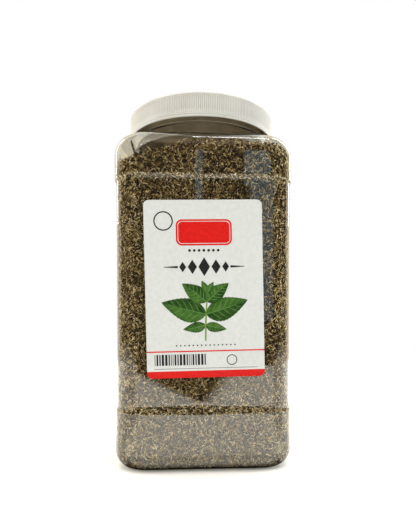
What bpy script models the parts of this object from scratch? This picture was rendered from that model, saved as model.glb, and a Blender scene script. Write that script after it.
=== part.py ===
"""Jar of dried basil: a clear square jar with a threaded neck, a ribbed screw cap with a
matching thread, a sealing liner, a front label, and the dried cut leaf inside.
Metres, Z up, front toward -Y, origin at the middle of the base."""
import math
import random

import bmesh
import bpy
import numpy as np
from mathutils import Matrix, Vector

for old in list(bpy.data.objects):
    bpy.data.objects.remove(old, do_unlink=True)

MM = 0.001

# Plan sizes of the body, half widths and half flats in mm
BAND_HALF, BAND_FLAT, BAND_CORNER = 64.3, 40.8, 23.5
PANEL_HALF, PANEL_FLAT, PANEL_CORNER = 62.1, 48.5, 20.0
FLAT_STEPS = 6
CORNER_STEPS = 6
CIRCLE_STEP = 90.0 / (FLAT_STEPS + CORNER_STEPS)

# Heights in mm, from the surface that the jar stands on
LOWER_LEDGE = (41.5, 47.0)
UPPER_LEDGE = (204.0, 209.5)
BASE_RADIUS = 11.0
WALL_TOP = 226.0
SHOULDER_RADIUS = 13.0
NECK_FOOT = 239.9
RIM_TOP = 263.6
BEAD_Z = 246.7
NECK_R = 53.2
WALL = 0.85
NECK_WALL = 1.6

# Screw thread in mm: single start, right hand
LEAD = 5.08
JAR_CREST = 54.5
CAP_CREST = 53.9
JAR_THREAD_Z = 254.4
JAR_THREAD_TURNS = 1.25
CAP_THREAD_DROP = 1.85
CAP_THREAD_TURNS = 1.1

# Cap in mm
CAP_BOTTOM = 249.5
CAP_HEIGHT = 17.3
CAP_TOP_WALL = 1.6
CAP_R = 56.6
CAP_INNER_R = 55.2
RIBS = 100
RIB_DEPTH = 0.42
RIB_BOTTOM, RIB_TOP = 3.0, 15.1

# Label in mm, applied about one degree out of square
LABEL_W, LABEL_H, LABEL_R, LABEL_THICK = 82.0, 123.0, 3.8, 0.4
LABEL_X, LABEL_Z, LABEL_TILT = -1.6, 128.2, 1.05

# Space between the contents and the wall
FILL_GAP = 0.45

collection = bpy.data.collections.new("Jar_Of_Dried_Basil")
tools = bpy.data.collections.new("Jar_Of_Dried_Basil_Tools")
for each in (collection, tools):
    bpy.context.scene.collection.children.link(each)


# Materials, one for each sub-part
def material(name, colour, roughness, transmission=0.0):
    mat = bpy.data.materials.new(name)
    mat.use_nodes = True
    shader = mat.node_tree.nodes["Principled BSDF"]
    shader.inputs["Base Color"].default_value = (*colour, 1.0)
    shader.inputs["Roughness"].default_value = roughness
    shader.inputs["Metallic"].default_value = 0.0
    shader.inputs["Transmission Weight"].default_value = transmission
    return mat


PET = material("Clear_PET", (0.86, 0.88, 0.86), 0.06, transmission=0.9)
POLYPROPYLENE = material("White_Polypropylene", (0.86, 0.85, 0.82), 0.42)
FOAM = material("Liner_Foam", (0.88, 0.87, 0.84), 0.8)
PAPER = material("Label_Paper", (0.83, 0.80, 0.75), 0.55)
LEAF = material("Dried_Leaf", (0.17, 0.13, 0.045), 0.85)


# Object helpers
def add_object(name, data, mat=None, where=collection):
    obj = bpy.data.objects.new(name, data)
    where.objects.link(obj)
    if mat is not None:
        data.materials.append(mat)
    if where is tools:
        obj.hide_render = True
        obj.display_type = "WIRE"
    return obj


def boolean(target, tool, operation):
    mod = target.modifiers.new(operation.title(), "BOOLEAN")
    mod.operation = operation
    mod.object = tool
    mod.solver = "EXACT"
    mod.use_self = True
    return mod


def evaluated_mesh(obj):
    bpy.context.view_layer.update()
    return bpy.data.meshes.new_from_object(obj.evaluated_get(bpy.context.evaluated_depsgraph_get()))


def shade(mesh, degrees=30.0):
    mesh.shade_smooth()
    mesh.set_sharp_from_angle(angle=math.radians(degrees))


def loft(rings, low_centre, high_centre=None):
    """Skins rings of equal count; a centre point closes an end."""
    bm = bmesh.new()
    rows = [[bm.verts.new(Vector(p) * MM) for p in ring] for ring in rings]
    for low, high in zip(rows, rows[1:]):
        for i in range(len(low)):
            j = (i + 1) % len(low)
            bm.faces.new((low[i], low[j], high[j], high[i]))
    ends = [(low_centre, rows[0])] + ([(high_centre, rows[-1])] if high_centre else [])
    for centre, row in ends:
        tip = bm.verts.new(Vector(centre) * MM)
        for i in range(len(row)):
            bm.faces.new((tip, row[i], row[(i + 1) % len(row)]))
    bmesh.ops.recalc_face_normals(bm, faces=bm.faces)
    mesh = bpy.data.meshes.new("loft")
    bm.to_mesh(mesh)
    bm.free()
    return mesh


# Plan sections of the body
def corner_arc(half, flat, radius):
    """One corner from (half, flat) to (flat, half). A radius larger than the corner
    leaves a soft crease beside the flat, as on the label panel."""
    chord = math.dist((half, flat), (flat, half))
    radius = max(radius, chord / 2.0 + 1e-6)
    middle = (half + flat) / 2.0
    centre = middle - math.sqrt(radius * radius - chord * chord / 4.0) / math.sqrt(2.0)
    start = math.atan2(flat - centre, half - centre)
    stop = math.atan2(half - centre, flat - centre)
    angles = [start + (stop - start) * k / CORNER_STEPS for k in range(CORNER_STEPS)]
    return [(centre + radius * math.cos(t), centre + radius * math.sin(t)) for t in angles]


def square_ring(z, half, flat, radius):
    quarter = [(half, flat * (2.0 * k / FLAT_STEPS - 1.0)) for k in range(FLAT_STEPS)]
    quarter += corner_arc(half, flat, radius)
    out = []
    for turn in range(4):
        c, s = round(math.cos(turn * math.pi / 2.0)), round(math.sin(turn * math.pi / 2.0))
        out += [(x * c - y * s, x * s + y * c, z) for x, y in quarter]
    return out


def round_ring(z, radius):
    count = 4 * (FLAT_STEPS + CORNER_STEPS)
    angles = [math.radians(CIRCLE_STEP * (k - FLAT_STEPS / 2.0)) for k in range(count)]
    return [(radius * math.cos(t), radius * math.sin(t), z) for t in angles]


def body_outline(inset=0.0):
    """Rows of height, half width, half flat and corner radius, from the base rounding up
    to the shoulder, for the surface that lies "inset" inside the jar's outside."""
    rows = []
    radius = BASE_RADIUS - inset
    for angle in (0, 25, 47, 68, 90):
        t = math.radians(angle)
        half = BAND_HALF - inset - radius * (1.0 - math.sin(t))
        rows.append((inset + radius * (1.0 - math.cos(t)), half, BAND_FLAT, max(half - BAND_FLAT, 4.0)))
    band = (BAND_HALF - inset, BAND_FLAT, BAND_CORNER - inset)
    band_edge = (band[0] - 0.45, BAND_FLAT + 1.5, band[2] - 0.6)
    panel = (PANEL_HALF - inset, PANEL_FLAT, PANEL_CORNER - inset)
    panel_edge = (panel[0] + 0.4, PANEL_FLAT - 1.5, panel[2] + 0.4)
    low, high = LOWER_LEDGE
    rows += [(low - 0.3 * inset, *band), (low + 1.3, *band_edge)]
    rows += [(high - 1.3, *panel_edge), (high + 0.3 * inset, *panel)]
    low, high = UPPER_LEDGE
    rows += [(low - 0.3 * inset, *panel), (low + 1.3, *panel_edge)]
    rows += [(high - 1.3, *band_edge), (high + 0.3 * inset, *band)]
    radius = SHOULDER_RADIUS - inset
    for angle in (0, 24, 48, 72):
        t = math.radians(angle)
        half = band[0] - radius * (1.0 - math.cos(t))
        rows.append((WALL_TOP + radius * math.sin(t), half, BAND_FLAT, max(half - BAND_FLAT, 4.0)))
    return rows


# Jar: a lofted skin from the pushed-up base to the rim, thickened inward, thicker at the neck
rings = [square_ring(3.1, 30.0, 22.0, 8.0), square_ring(0.8, 43.0, 32.0, 11.0), square_ring(0.0, 46.5, 35.0, 11.5)]
rings += [square_ring(*row) for row in body_outline()]
neck_start = len(rings)
neck = ((239.1, 54.1), (NECK_FOOT, NECK_R), (RIM_TOP - 0.6, NECK_R), (RIM_TOP, NECK_R - 0.3))
rings += [round_ring(z, r) for z, r in neck]
skin = loft(rings, (0.0, 0.0, 3.9))
shade(skin)
jar = add_object("jar", skin, PET)
group = jar.vertex_groups.new(name="neck")
ring_count = len(rings[0])
group.add(range((neck_start + 1) * ring_count, len(rings) * ring_count), 1.0, "REPLACE")
solid = jar.modifiers.new("Wall", "SOLIDIFY")
solid.thickness = NECK_WALL * MM
solid.offset = -1.0
solid.use_even_offset = True
solid.vertex_group = "neck"
solid.thickness_vertex_group = WALL / NECK_WALL


# Screw ridge: a curve along a helix with a trapezoid section, thinning out at both ends
def ridge(name, root, crest, z_start, turns):
    half_root, half_crest = 1.05, 0.55
    depth = crest - root
    outline = [(0.0, -half_root), (depth, -half_crest), (depth, half_crest), (0.0, half_root)]
    section = bpy.data.curves.new(name + "_section", "CURVE")
    spline = section.splines.new("POLY")
    spline.points.add(3)
    for point, (u, v) in zip(spline.points, outline):
        point.co = (u * MM, v * MM, 0.0, 1.0)
    spline.use_cyclic_u = True
    section_object = add_object(name + "_section", section, where=tools)
    path = bpy.data.curves.new(name + "_path", "CURVE")
    path.dimensions = "3D"
    path.twist_mode = "Z_UP"
    path.bevel_mode = "OBJECT"
    path.bevel_object = section_object
    path.use_fill_caps = True
    spline = path.splines.new("POLY")
    steps = int(44 * turns)
    spline.points.add(steps)
    for k, point in enumerate(spline.points):
        share = k / steps
        angle = 2.0 * math.pi * turns * share
        z = z_start + LEAD * turns * share
        point.co = (root * MM * math.cos(angle), root * MM * math.sin(angle), z * MM, 1.0)
        point.radius = max(0.35, min(1.0, share / 0.07, (1.0 - share) / 0.07))
    helix = add_object(name + "_path", path, where=tools)
    mesh = evaluated_mesh(helix)
    bpy.data.objects.remove(helix)
    bm = bmesh.new()
    bm.from_mesh(mesh)
    bmesh.ops.remove_doubles(bm, verts=bm.verts, dist=0.00001)
    bmesh.ops.recalc_face_normals(bm, faces=bm.faces)
    bm.to_mesh(mesh)
    bm.free()
    return add_object(name, mesh, where=tools)


jar_ridge = ridge("jar_thread", NECK_R - 0.6, JAR_CREST, JAR_THREAD_Z, JAR_THREAD_TURNS)
boolean(jar, jar_ridge, "UNION")

# Transfer bead round the neck, below the cap's skirt
bpy.ops.mesh.primitive_torus_add(major_radius=(NECK_R - 0.15) * MM, minor_radius=1.2 * MM, major_segments=44,
                                 minor_segments=8, location=(0.0, 0.0, BEAD_Z * MM))
bead = bpy.context.object
bead.name = "neck_bead"
bead.scale = (1.0, 1.0, 0.7)
bead.hide_render = True
bead.display_type = "WIRE"
for owner in list(bead.users_collection):
    owner.objects.unlink(bead)
tools.objects.link(bead)
boolean(jar, bead, "UNION")

# Cap: a turned profile, with its origin on the screw axis
axis = add_object("cap_axis", None)
axis.location = (0.0, 0.0, CAP_BOTTOM * MM)
top = CAP_HEIGHT
profile = [(0.0, top - 0.5), (49.2, top - 0.5), (50.0, top), (CAP_R - 2.6, top), (CAP_R - 1.5, top - 0.3),
           (CAP_R - 0.75, top - 0.9), (CAP_R - 0.25, top - 1.8), (CAP_R, RIB_TOP + 0.15), (CAP_R, RIB_BOTTOM - 0.12),
           (CAP_R - 0.2, RIB_BOTTOM - 0.32), (CAP_R, RIB_BOTTOM - 0.6), (CAP_R, 0.5), (CAP_R - 0.5, 0.0),
           (CAP_INNER_R + 0.4, 0.0), (CAP_INNER_R, 0.6), (CAP_INNER_R, top - CAP_TOP_WALL - 1.0),
           (CAP_INNER_R - 0.6, top - CAP_TOP_WALL), (0.0, top - CAP_TOP_WALL)]
mesh = bpy.data.meshes.new("cap")
mesh.from_pydata([(r * MM, 0.0, z * MM) for r, z in profile], [(i, i + 1) for i in range(len(profile) - 1)], [])
cap = add_object("cap", mesh, POLYPROPYLENE)
cap.parent = axis
turned = cap.modifiers.new("Turned", "SCREW")
turned.axis = "Z"
turned.angle = 2.0 * math.pi
turned.screw_offset = 0.0
turned.steps = 50
turned.render_steps = 50
turned.use_merge_vertices = True
turned.merge_threshold = 0.00001
turned.use_smooth_shade = False

# Grooves between the ribs: a star-shaped outline in a ring, extruded and cut away
cutter = bpy.data.curves.new("rib_cutter", "CURVE")
cutter.dimensions = "2D"
cutter.fill_mode = "BOTH"
cutter.extrude = (RIB_TOP - RIB_BOTTOM) / 2.0 * MM
for count, radii in ((50, (CAP_R + 3.0,)), (2 * RIBS, (CAP_R - 0.02, CAP_R - RIB_DEPTH))):
    spline = cutter.splines.new("POLY")
    spline.points.add(count - 1)
    for k, point in enumerate(spline.points):
        angle = 2.0 * math.pi * k / count
        radius = radii[k % len(radii)] * MM
        point.co = (radius * math.cos(angle), radius * math.sin(angle), 0.0, 1.0)
    spline.use_cyclic_u = True
cutter_curve = add_object("rib_cutter_curve", cutter, where=tools)
cutter_mesh = evaluated_mesh(cutter_curve)
bpy.data.objects.remove(cutter_curve)
bm = bmesh.new()
bm.from_mesh(cutter_mesh)
bmesh.ops.remove_doubles(bm, verts=bm.verts, dist=0.00001)
bmesh.ops.recalc_face_normals(bm, faces=bm.faces)
bm.to_mesh(cutter_mesh)
bm.free()
rib_cutter = add_object("rib_cutter", cutter_mesh, where=tools)
rib_cutter.location = (0.0, 0.0, (CAP_BOTTOM + (RIB_TOP + RIB_BOTTOM) / 2.0) * MM)
boolean(cap, rib_cutter, "DIFFERENCE")

# The cap's ridge lies just under the jar's
cap_ridge = ridge("cap_thread", CAP_INNER_R + 0.45, CAP_CREST, JAR_THREAD_Z - CAP_THREAD_DROP, CAP_THREAD_TURNS)
boolean(cap, cap_ridge, "UNION")

# Liner disc between the rim and the cap's top
bpy.ops.mesh.primitive_cylinder_add(vertices=48, radius=54.2 * MM, depth=1.0 * MM, location=(0.0, 0.0, 264.4 * MM))
liner = bpy.context.object
liner.name = "cap_liner"
liner.data.materials.append(FOAM)
for owner in list(liner.users_collection):
    owner.objects.unlink(liner)
collection.objects.link(liner)
soft_edge = liner.modifiers.new("Edge", "BEVEL")
soft_edge.width = 0.2 * MM
soft_edge.segments = 1

# Label: a flat rounded outline, extruded
sheet = bpy.data.curves.new("label", "CURVE")
sheet.dimensions = "2D"
sheet.fill_mode = "BOTH"
sheet.extrude = LABEL_THICK / 2.0 * MM
spline = sheet.splines.new("POLY")
outline = []
for quarter in range(4):
    cx = (LABEL_W / 2.0 - LABEL_R) * (1 if quarter in (0, 3) else -1)
    cy = (LABEL_H / 2.0 - LABEL_R) * (1 if quarter in (0, 1) else -1)
    for k in range(6):
        t = math.radians(90.0 * quarter + 18.0 * k)
        outline.append((cx + LABEL_R * math.cos(t), cy + LABEL_R * math.sin(t)))
spline.points.add(len(outline) - 1)
for point, (u, v) in zip(spline.points, outline):
    point.co = (u * MM, v * MM, 0.0, 1.0)
spline.use_cyclic_u = True
label = add_object("label", sheet, PAPER)
label.location = (LABEL_X * MM, -(PANEL_HALF + 0.3 + LABEL_THICK / 2.0) * MM, LABEL_Z * MM)
label.rotation_euler = (math.radians(90.0), math.radians(-LABEL_TILT), 0.0)

# Dried basil: a body with a rough skin just inside the wall, heaped lower at the left and back
rng = random.Random(62)
INSET = WALL + FILL_GAP


def inner_outline(z):
    rows = body_outline(INSET)
    heights = [row[0] for row in rows]
    return [float(np.interp(z, heights, [row[column] for row in rows])) for column in (1, 2, 3)]


def heap_height(x, y):
    fall = min(1.0, max(0.0, (-x - 8.0) / 46.0))
    z = 231.9 - 13.8 * fall * fall * (3.0 - 2.0 * fall) - 0.02 * (y + 62.0)
    z += 0.7 * math.sin(x / 9.0 + 1.3) * math.cos(y / 11.0)
    z += 0.5 * math.sin(x / 4.7 - y / 6.1)
    return z


rings = [square_ring(4.9, 30.0, 22.0, 8.0), square_ring(2.6, 43.5, 32.0, 11.0)]
levels = [2.0, 3.4, 7.0, 13.5, 22.5, 31.5, LOWER_LEDGE[0] - 1.0, LOWER_LEDGE[1] - 2.5]
levels += [float(z) for z in np.linspace(LOWER_LEDGE[1] + 1.0, UPPER_LEDGE[0] - 1.0, 15)]
levels += [UPPER_LEDGE[0] + 2.5, UPPER_LEDGE[1] + 0.7]
for index, z in enumerate(levels):
    at_ledge = z in (LOWER_LEDGE[1] - 2.5, UPPER_LEDGE[0] + 2.5)
    half, flat, radius = inner_outline(120.0 if at_ledge else z)
    if index < 2:
        half, radius = half - 0.4, max(radius, 6.0)
    near_ledge = min(abs(z - 44.2), abs(z - 206.8)) < 5.0
    ring = []
    for x, y, height in square_ring(z, half, flat, radius):
        dent = rng.uniform(0.0, 1.0) ** 1.6 * (2.3 if index > 1 else 0.6) / math.hypot(x, y)
        lift = 0.0 if index < 3 or near_ledge or z > 210.0 else rng.uniform(-1.6, 1.6)
        ring.append((x * (1.0 - dent), y * (1.0 - dent), height + lift))
    rings.append(ring)
top_half, top_flat, top_radius = inner_outline(218.0)
for share, ceiling, below in ((1.0, 225.6, 2.5), (0.982, 229.4, 0.8), (0.95, 232.4, 0.0), (0.8, 240.0, 0.0),
                              (0.6, 240.0, 0.0), (0.4, 240.0, 0.0), (0.2, 240.0, 0.0)):
    ring = []
    for x, y, _ in square_ring(0.0, top_half * share, top_flat * share, top_radius * share):
        height = heap_height(x, y) + rng.uniform(-0.7, 0.7) * share - below
        ring.append((x, y, min(height, ceiling)))
    rings.append(ring)
core = loft(rings, (0.0, 0.0, 5.7), (0.0, 0.0, heap_height(0.0, 0.0)))
basil = add_object("dried_basil", core, LEAF)

# Coarse flakes and stems, each with its root in the body
bits = bmesh.new()
placed = []


def is_free(point, reach):
    if any((point - other).length < reach for other in placed):
        return False
    placed.append(point.copy())
    return True


def frame_matrix(spot, along, normal):
    across = normal.cross(along)
    turn = Matrix((along, across, normal)).transposed().to_4x4()
    return Matrix.Translation(spot * MM) @ turn


def add_flake(spot, along, normal, length, width, thick):
    size = Matrix.Diagonal((length / 2.0 * MM, width / 2.0 * MM, thick * MM, 1.0))
    bmesh.ops.create_cone(bits, cap_ends=True, segments=6, radius1=1.0, radius2=0.86, depth=1.0,
                          matrix=frame_matrix(spot, along, normal) @ size)


def add_stem(spot, along, normal, length, thick):
    size = Matrix.Diagonal((length * MM, thick * MM, thick * MM, 1.0))
    bmesh.ops.create_cube(bits, size=1.0, matrix=frame_matrix(spot, along, normal) @ size)


# On the four walls, lying just inside the skin
while len(placed) < 56:
    z = rng.uniform(12.0, 220.0)
    if min(abs(z - 44.2), abs(z - 206.8)) < 9.5 or z > 211.0:
        continue
    half = inner_outline(z)[0]
    turn = Matrix.Rotation(math.radians(90.0 * rng.randrange(4)), 3, "Z")
    spot = turn @ Vector((half - 0.95, rng.uniform(-36.0, 36.0), z))
    if not is_free(spot, 15.0):
        continue
    normal = turn @ Vector((1.0, 0.0, 0.0))
    angle = rng.uniform(0.0, math.pi)
    along = turn @ Vector((0.0, math.cos(angle), math.sin(angle)))
    if len(placed) % 5 == 0:
        add_stem(spot, along, normal, rng.uniform(9.0, 14.0), rng.uniform(1.1, 1.4))
    else:
        lean = (normal + along * rng.uniform(-0.05, 0.05)).normalized()
        along = (along - lean * along.dot(lean)).normalized()
        add_flake(spot, along, lean, rng.uniform(6.5, 11.0), rng.uniform(4.0, 6.0), 1.1)

# On the heap, lying at all angles
while len(placed) < 92:
    spot = Vector((rng.uniform(-50.0, 50.0), rng.uniform(-50.0, 50.0), 0.0))
    if max(abs(spot.x), abs(spot.y)) + 0.4 * min(abs(spot.x), abs(spot.y)) > 56.0:
        continue
    spot.z = heap_height(spot.x, spot.y) + 0.3
    if not is_free(spot, 9.0):
        continue
    turn = Matrix.Rotation(rng.uniform(0.0, 2.0 * math.pi), 3, "Z") @ Matrix.Rotation(rng.uniform(0.1, 0.7), 3, "Y")
    along, normal = turn @ Vector((1.0, 0.0, 0.0)), turn @ Vector((0.0, 0.0, 1.0))
    if len(placed) % 4 == 0:
        add_stem(spot, along, normal, 11.0, 1.3)
    else:
        add_flake(spot, along, normal, rng.uniform(7.0, 11.0), rng.uniform(4.0, 6.0), 1.0)

bits_mesh = bpy.data.meshes.new("basil_flakes")
bits.to_mesh(bits_mesh)
bits.free()
flakes = add_object("basil_flakes", bits_mesh, where=tools)
boolean(basil, flakes, "UNION")
joined = evaluated_mesh(basil)
basil.modifiers.clear()

# A flake may close over a dent: the pocket's own skin is removed, so that it is filled
bm = bmesh.new()
bm.from_mesh(joined)
bmesh.ops.remove_doubles(bm, verts=bm.verts, dist=0.00004)
bmesh.ops.dissolve_degenerate(bm, dist=0.00004, edges=bm.edges)
left = set(bm.verts)
shells = []
while left:
    stack = [left.pop()]
    shell = set(stack)
    while stack:
        for edge in stack.pop().link_edges:
            for vert in edge.verts:
                if vert not in shell:
                    shell.add(vert)
                    stack.append(vert)
    left -= shell
    shells.append(shell)
shells.sort(key=len)
for shell in shells[:-1]:
    bmesh.ops.delete(bm, geom=list(shell), context="VERTS")
bm.to_mesh(joined)
bm.free()
basil.data = joined
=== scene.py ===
# %% [markdown]
# # Dressing a jar of dried basil
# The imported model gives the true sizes: a clear square jar, a ribbed screw cap, a liner, a
# label and the dried leaf inside. This lesson adds what a photograph shows and a solid model
# leaves out: thin clear plastic, fine ribs, a printed label, and thousands of cut leaf chips.

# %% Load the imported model
import math

import bmesh
import bpy
import numpy as np
from mathutils import Matrix, Vector


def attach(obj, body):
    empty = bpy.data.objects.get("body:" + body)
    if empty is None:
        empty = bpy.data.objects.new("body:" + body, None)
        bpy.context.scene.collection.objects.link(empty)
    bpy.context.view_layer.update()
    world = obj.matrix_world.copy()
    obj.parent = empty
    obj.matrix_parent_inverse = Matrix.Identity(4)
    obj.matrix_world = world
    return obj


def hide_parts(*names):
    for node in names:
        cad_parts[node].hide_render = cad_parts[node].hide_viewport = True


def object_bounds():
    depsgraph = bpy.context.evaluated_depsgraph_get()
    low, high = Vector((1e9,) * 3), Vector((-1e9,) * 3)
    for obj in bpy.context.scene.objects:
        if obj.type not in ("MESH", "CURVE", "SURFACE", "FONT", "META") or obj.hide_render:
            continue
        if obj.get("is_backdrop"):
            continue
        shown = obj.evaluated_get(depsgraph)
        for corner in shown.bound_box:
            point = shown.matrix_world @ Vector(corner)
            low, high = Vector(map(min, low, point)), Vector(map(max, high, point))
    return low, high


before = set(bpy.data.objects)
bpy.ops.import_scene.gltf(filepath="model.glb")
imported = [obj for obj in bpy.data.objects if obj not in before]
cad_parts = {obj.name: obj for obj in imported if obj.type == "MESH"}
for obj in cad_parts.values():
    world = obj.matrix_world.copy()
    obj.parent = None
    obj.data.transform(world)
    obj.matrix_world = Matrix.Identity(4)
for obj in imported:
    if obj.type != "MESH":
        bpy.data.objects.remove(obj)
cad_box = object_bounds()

MM = 0.001

# %% [markdown]
# ## The camera
# The jar was photographed from close by, nearly straight ahead, with the lens a little below half
# its height. The camera stands a little left of the middle and looks slightly right. The lens
# shift centres the jar while the camera stays almost level, so its uprights stay parallel.

# %% Camera
camera_data = bpy.data.cameras.new("camera")
camera_data.sensor_width = 36.0
camera_data.lens = 33.77
camera_data.shift_x = -0.0078
camera_data.shift_y = 0.149
camera = bpy.data.objects.new("camera", camera_data)
camera.location = (-0.018, -0.3981, 0.1046)
camera.rotation_euler = (math.radians(88.61), 0.0, math.radians(-3.87))
bpy.context.scene.collection.objects.link(camera)
bpy.context.scene.camera = camera
bpy.context.scene.view_settings.view_transform = "Standard"
print("camera", round(camera.location.length, 3), "m from the jar's base")

# %% [markdown]
# ## A few tools for meshes and materials
# Large meshes are quickest when numpy holds their points and Blender takes them in one go.
# Shader graphs read more easily when one short function adds and wires each node.

# %% Mesh and material helpers
def make_mesh(name, points, faces, smooth=True):
    """A mesh object from points in mm and equal-sided faces, both as arrays."""
    points, faces = np.asarray(points, np.float32) * MM, np.asarray(faces, np.int32)
    mesh = bpy.data.meshes.new(name)
    mesh.vertices.add(len(points))
    mesh.vertices.foreach_set("co", points.ravel())
    corners = faces.shape[1]
    mesh.loops.add(faces.size)
    mesh.loops.foreach_set("vertex_index", faces.ravel())
    mesh.polygons.add(len(faces))
    mesh.polygons.foreach_set("loop_start", np.arange(0, faces.size, corners, dtype=np.int32))
    mesh.update(calc_edges=True)
    mesh.validate()
    if smooth:
        mesh.shade_smooth()
    obj = bpy.data.objects.new(name, mesh)
    bpy.context.scene.collection.objects.link(obj)
    return obj


def quads_between(rows, columns):
    """Faces of a closed tube of points, row after row."""
    r, c = np.meshgrid(np.arange(rows - 1), np.arange(columns), indexing="ij")
    n = (c + 1) % columns
    corners = [r * columns + c, r * columns + n, (r + 1) * columns + n, (r + 1) * columns + c]
    return np.stack(corners, -1).reshape(-1, 4)


def new_material(name):
    """A node material, with its tree and its main shader."""
    mat = bpy.data.materials.new(name)
    mat.use_nodes = True
    return mat, mat.node_tree, mat.node_tree.nodes["Principled BSDF"]


def add_node(tree, kind, inputs=None, **settings):
    """Adds a shader node; a value that is a socket is linked, any other is set."""
    node = tree.nodes.new("ShaderNode" + kind)
    for key, value in settings.items():
        setattr(node, key, value)
    for key, value in (inputs or {}).items():
        if isinstance(value, bpy.types.NodeSocket):
            tree.links.new(value, node.inputs[key])
        else:
            node.inputs[key].default_value = value
    return node


def set_ramp(node, stops):
    """Sets a colour ramp's stops, as (position, colour) pairs."""
    ramp = node.color_ramp
    while len(ramp.elements) > 1:
        ramp.elements.remove(ramp.elements[-1])
    for k, (at, colour) in enumerate(stops):
        element = ramp.elements[0] if k == 0 else ramp.elements.new(at)
        element.position, element.color = at, (*colour, 1.0)


def noise(tree, scale, detail):
    """Noise that is fixed to the piece, so it turns and moves with it."""
    where = add_node(tree, "TexCoord")
    inputs = {"Vector": where.outputs["Object"], "Scale": scale, "Detail": detail}
    return add_node(tree, "TexNoise", inputs).outputs["Fac"]


def colour_by(tree, shader, value, stops):
    """Base colour from a value through a ramp; returns the colour's socket."""
    tone = add_node(tree, "ValToRGB", {"Fac": value})
    set_ramp(tone, stops)
    tree.links.new(tone.outputs["Color"], shader.inputs["Base Color"])
    return tone.outputs["Color"]


def bump_by(tree, shader, value, strength, distance):
    bump = add_node(tree, "Bump", {"Height": value, "Strength": strength, "Distance": distance})
    tree.links.new(bump.outputs["Normal"], shader.inputs["Normal"])


# %% [markdown]
# ## The shape of the body
# The jar is a stack of rounded squares: two full-width bands, a panel set in between them, and
# a shoulder that closes to a round neck. One function gives a square's outline, one a circle's,
# and both use the same number of points, so any two can be joined.

# %% Plan and outline of the body
BAND_HALF, BAND_FLAT, BAND_CORNER = 64.3, 40.8, 23.5
PANEL_HALF, PANEL_FLAT, PANEL_CORNER = 62.1, 48.5, 20.0
LOWER_LEDGE, UPPER_LEDGE = (41.4, 46.6), (204.2, 207.4)
BASE_RADIUS, SHOULDER_RADIUS, WALL_TOP = 12.5, 14.8, 224.2
NECK_R, BORE_R, RIM_TOP, WALL = 53.2, 51.6, 263.6, 0.6
FLAT_STEPS, CORNER_STEPS = 14, 16
COLUMNS = 4 * (FLAT_STEPS + CORNER_STEPS)


def square_ring(half, flat, radius):
    """A rounded square; a corner radius too large for the corner leaves a crease beside the flat."""
    chord = (half - flat) * math.sqrt(2.0)
    radius = max(radius, chord / 2.0 + 1e-6)
    centre = (half + flat) / 2.0 - math.sqrt(radius * radius - chord * chord / 4.0) / math.sqrt(2.0)
    start, stop = math.atan2(flat - centre, half - centre), math.atan2(half - centre, flat - centre)
    along = flat * np.sin(np.radians(np.linspace(-90.0, 90.0, FLAT_STEPS + 1)))[:-1]
    turn = np.linspace(start, stop, CORNER_STEPS + 1)[:-1]
    x = np.concatenate([np.full(FLAT_STEPS, half), centre + radius * np.cos(turn)])
    y = np.concatenate([along, centre + radius * np.sin(turn)])
    return np.concatenate([np.stack(p, 1) for p in ((x, y), (-y, x), (-x, -y), (y, -x))])


def round_ring(radius):
    """A circle with as many points as a square ring, lined up with it."""
    angle = (np.arange(COLUMNS) - FLAT_STEPS / 2.0) * 2.0 * np.pi / COLUMNS
    return np.stack([radius * np.cos(angle), radius * np.sin(angle)], 1)


def body_rings(inset, wall_step=9.0):
    """Heights and plan rings of the body, "inset" mm inside its outer face."""
    rows = []
    radius = BASE_RADIUS - inset
    for t in np.radians(np.linspace(0.0, 90.0, 13)):
        half = BAND_HALF - inset - radius * (1.0 - math.sin(t))
        rows.append((inset + radius * (1.0 - math.cos(t)), half, BAND_FLAT, max(half - BAND_FLAT, 4.0)))
    band = np.array((BAND_HALF - inset, BAND_FLAT, BAND_CORNER - inset))
    panel = np.array((PANEL_HALF - inset, PANEL_FLAT, PANEL_CORNER - inset))

    def wall(low, high, shape):
        between = np.linspace(low, high, max(2, int((high - low) / wall_step)))[1:-1]
        for z in [low + 0.7, *between, high - 0.7]:
            rows.append((z, *shape))

    def ledge(low, high, below, above, lift):
        for share in np.linspace(0.0, 1.0, 17):
            smooth = np.interp(share, [0.0, 0.06, 0.14, 0.86, 0.94, 1.0],
                               [0.0, 0.015, 0.07, 0.93, 0.985, 1.0])
            rows.append((low + (high - low) * share + lift, *(below + (above - below) * smooth)))

    wall(BASE_RADIUS, LOWER_LEDGE[0], band)
    ledge(*LOWER_LEDGE, band, panel, -0.35 * inset)
    wall(LOWER_LEDGE[1], UPPER_LEDGE[0], panel)
    ledge(*UPPER_LEDGE, panel, band, 0.35 * inset)
    wall(UPPER_LEDGE[1], WALL_TOP, band)
    radius = SHOULDER_RADIUS - inset
    for t in np.radians(np.linspace(0.0, 78.0, 14)):
        half = band[0] - radius * (1.0 - math.cos(t))
        rows.append((WALL_TOP + radius * math.sin(t), half, BAND_FLAT, max(half - BAND_FLAT, 4.0)))
    return np.array([r[0] for r in rows]), [square_ring(*r[1:]) for r in rows]


def stack(heights, rings):
    """One list of points in mm from plan rings and their heights."""
    return np.concatenate([np.column_stack([ring, np.full(len(ring), z)]) for z, ring in zip(heights, rings)])


heights, rings = body_rings(0.0)
print("body rows", len(heights), "columns", COLUMNS)

# %% [markdown]
# ## Clear plastic
# Bottle plastic bends light a little more than water and less than crystal. A lamp's rays would
# be blocked by a refracting shell, so shadow and diffuse rays pass straight through it instead:
# the herb inside stays lit, while the eye still sees refraction and reflections. A slow, shallow
# bump gives the uneven gloss of a blown wall.

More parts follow.
